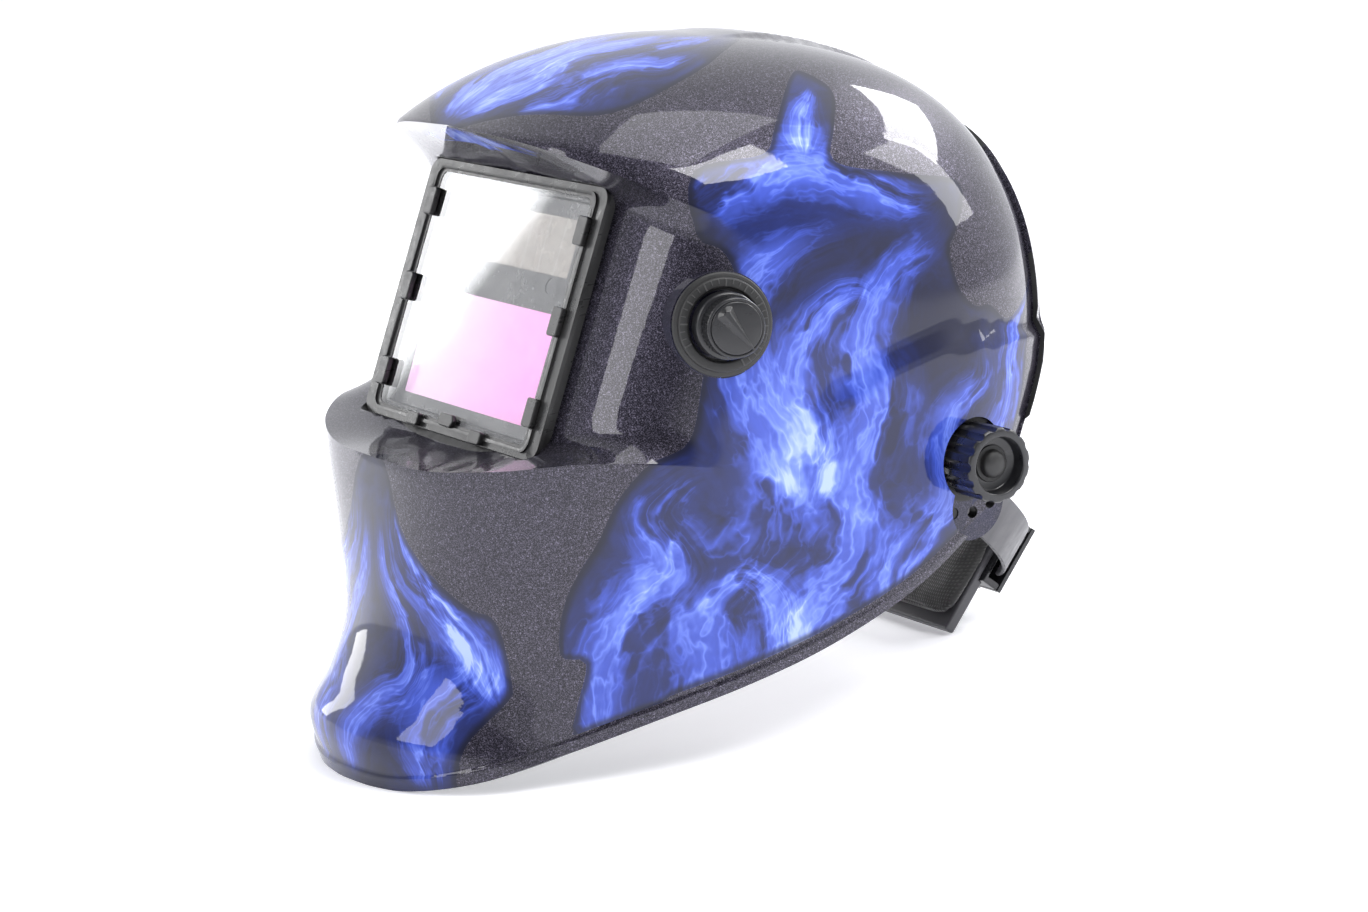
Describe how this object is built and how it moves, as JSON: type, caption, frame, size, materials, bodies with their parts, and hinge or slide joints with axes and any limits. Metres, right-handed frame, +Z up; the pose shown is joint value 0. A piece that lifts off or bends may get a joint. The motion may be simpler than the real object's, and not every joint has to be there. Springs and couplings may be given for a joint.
{
  "type": "welding helmet",
  "caption": "Auto-darkening welding helmet: deep brow and chin shell with a lens unit, side shade dial and a pivoting headgear tightened by a ratchet.",
  "frame": {"origin": "on the ground under the middle of the helmet, as it stands on its chin rim and on the foot of the nape cradle", "axes": "+Z up, -Y the way the lens faces, +X the wearer's left, where the shade dial is"},
  "size_m": [0.262, 0.3157, 0.2584],
  "materials": {
    "shell_paint": "glossy clear-coated charcoal metallic flake with blue smoke panels",
    "bezel_black": "satin moulded",
    "clear_sheet": "clear polished sheet",
    "filter_glass": "pink interference filter",
    "solar_cell": "dark cell under glass",
    "circuit_board": "solder mask",
    "steel": "plain zinc plated",
    "brass_insert": "turned",
    "knob_black": "satin moulded",
    "headgear_grey": "satin moulded, flexible",
    "gear_nylon": "moulded",
    "pad_fabric": "fine knit over foam"
  },
  "bodies": {
    "shell": {"shell": "shell_paint", "lens_bezel": "bezel_black", "lens_clips": "bezel_black", "cover_lens": "clear_sheet", "cartridge_front": "bezel_black", "cartridge_back": "bezel_black", "filter_glass": "filter_glass", "solar_cell": "solar_cell", "arc_sensors": "solar_cell", "circuit_board": "circuit_board", "coin_cells": "steel", "inner_cover_lens": "clear_sheet", "cartridge_holder": "bezel_black", "holder_screws": "steel", "dial_ring": "knob_black", "shade_pot": "steel", "pot_nut": "steel", "shade_cable": "knob_black", "angle_adjuster_left": "knob_black", "angle_adjuster_right": "knob_black"},
    "shade_knob": {"shade_knob": "knob_black", "shade_shaft": "steel"},
    "sensitivity_dial": {"sensitivity_dial": "knob_black"},
    "delay_dial": {"delay_dial": "knob_black"},
    "headgear": {"headband": "headgear_grey", "sweatband": "pad_fabric", "crown_strap_left": "headgear_grey", "crown_strap_right": "headgear_grey", "crown_pegs": "knob_black", "pivot_arm_left": "headgear_grey", "pivot_arm_right": "headgear_grey", "arm_rivets": "steel", "pivot_bolt_left": "steel", "pivot_bolt_right": "steel", "stop_plate_left": "knob_black", "stop_plate_right": "knob_black", "strap_left": "headgear_grey", "strap_right": "headgear_grey"},
    "ratchet": {"ratchet_housing": "knob_black", "ratchet_cover": "knob_black", "nape_cradle": "headgear_grey", "nape_pad": "pad_fabric"},
    "ratchet_knob": {"ratchet_knob": "knob_black", "ratchet_pinion": "gear_nylon"},
    "rack_left": {"rack_left": "headgear_grey"},
    "rack_right": {"rack_right": "headgear_grey"},
    "tension_knob_left": {"tension_knob_left": "knob_black", "knob_insert_left": "brass_insert", "knob_cap_left": "knob_black"},
    "tension_knob_right": {"tension_knob_right": "knob_black", "knob_insert_right": "brass_insert", "knob_cap_right": "knob_black"}
  },
  "joints": [
    {"name": "visor_pivot", "type": "hinge", "parent": "shell", "child": "headgear", "pos_m": [0, 0.06565, 0.09625], "axis": [1, 0, 0], "range_deg": [0, 75]},
    {"name": "shade_knob_turn", "type": "hinge", "parent": "shell", "child": "shade_knob", "pos_m": [0.1095, -0.03651, 0.16643], "axis": [0.9703, -0.2273, 0.0827], "range_deg": [0, 270]},
    {"name": "sensitivity_turn", "type": "hinge", "parent": "shell", "child": "sensitivity_dial", "pos_m": [-0.038, -0.04657, 0.19216], "axis": [0, 0.9085, -0.4179], "range_deg": [-135, 135]},
    {"name": "delay_turn", "type": "hinge", "parent": "shell", "child": "delay_dial", "pos_m": [0.038, -0.04657, 0.19216], "axis": [0, 0.9085, -0.4179], "range_deg": [-135, 135]},
    {"name": "tension_knob_left_turn", "type": "hinge", "parent": "headgear", "child": "tension_knob_left", "pos_m": [0.12, 0.06565, 0.09625], "axis": [1, 0, 0], "range_deg": [0, 540]},
    {"name": "tension_knob_right_turn", "type": "hinge", "parent": "headgear", "child": "tension_knob_right", "pos_m": [-0.12, 0.06565, 0.09625], "axis": [-1, 0, 0], "range_deg": [0, 540]},
    {"name": "band_length", "type": "slide", "parent": "headgear", "child": "ratchet", "axis": [0, 0.7422, -0.6702], "range_m": [-0.012, 0.004], "deforming": ["strap_left", "strap_right"]},
    {"name": "ratchet_knob_turn", "type": "hinge", "parent": "ratchet", "child": "ratchet_knob", "pos_m": [0, 0.14454, 0.02098], "axis": [0, 0.7422, -0.6702], "range_deg": [-130, 50]},
    {"name": "rack_left_slide", "type": "slide", "parent": "ratchet", "child": "rack_left", "axis": [1, 0, 0], "range_m": [-0.0115, 0.004]},
    {"name": "rack_right_slide", "type": "slide", "parent": "ratchet", "child": "rack_right", "axis": [-1, 0, 0], "range_m": [-0.0115, 0.004]}
  ],
  "couplings": [
    {"joint": "ratchet_knob_turn", "follows": "band_length", "rad_per_m": 168},
    {"joint": "rack_left_slide", "follows": "band_length", "ratio": 0.84},
    {"joint": "rack_right_slide", "follows": "band_length", "ratio": 0.84}
  ]
}
